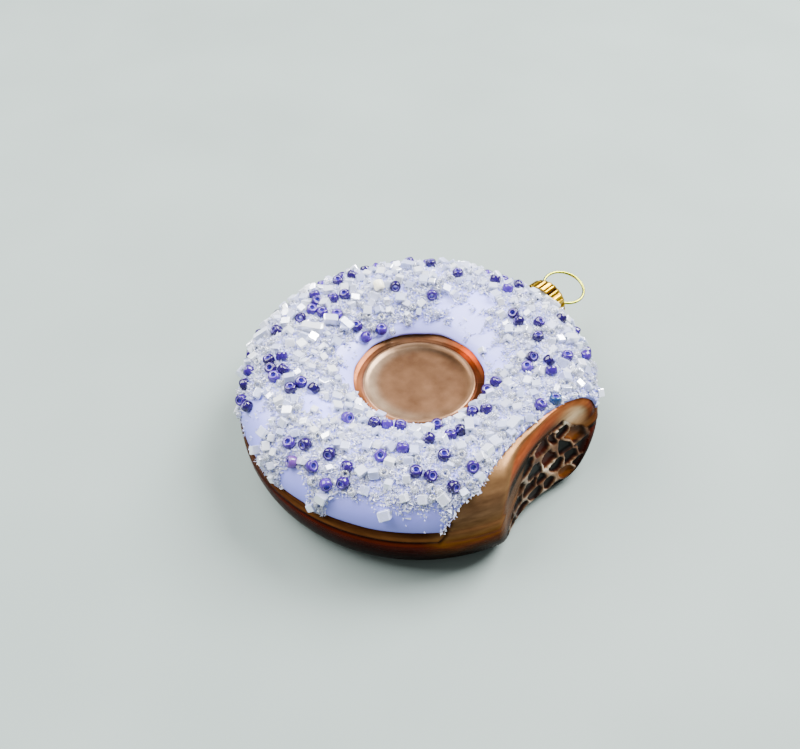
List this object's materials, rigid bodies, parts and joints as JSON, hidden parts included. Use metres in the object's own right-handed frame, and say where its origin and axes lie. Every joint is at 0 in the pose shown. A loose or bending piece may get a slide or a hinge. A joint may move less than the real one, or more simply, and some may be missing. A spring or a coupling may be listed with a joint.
{
  "type": "glass doughnut ornament",
  "caption": "Blown-glass hanging ornament shaped like a bitten ring doughnut, with a lilac beaded icing, a fluted brass cap and a wire loop.",
  "frame": {"origin": "middle of the bounding box's base, on the surface that the ornament lies on", "axes": "+Z out of the iced face, +Y out of the hanger cap, +X out of the bite"},
  "size_m": [0.0874, 0.111, 0.0287],
  "materials": {
    "bronze_brown_lacquered_glass": "bronze-brown lacquer on blown glass, glossy",
    "lilac_beaded_icing": "lilac lacquer with glued violet, white and clear glass beads",
    "pressed_brass": "bright pressed sheet with fine flutes",
    "pale_gold_wire": "polished pale gold spring wire"
  },
  "bodies": {
    "root": {"glass_body": "bronze_brown_lacquered_glass", "icing_with_beads": "lilac_beaded_icing", "hanger_cap": "pressed_brass", "hanger_loop": "pale_gold_wire"}
  },
  "joints": []
}
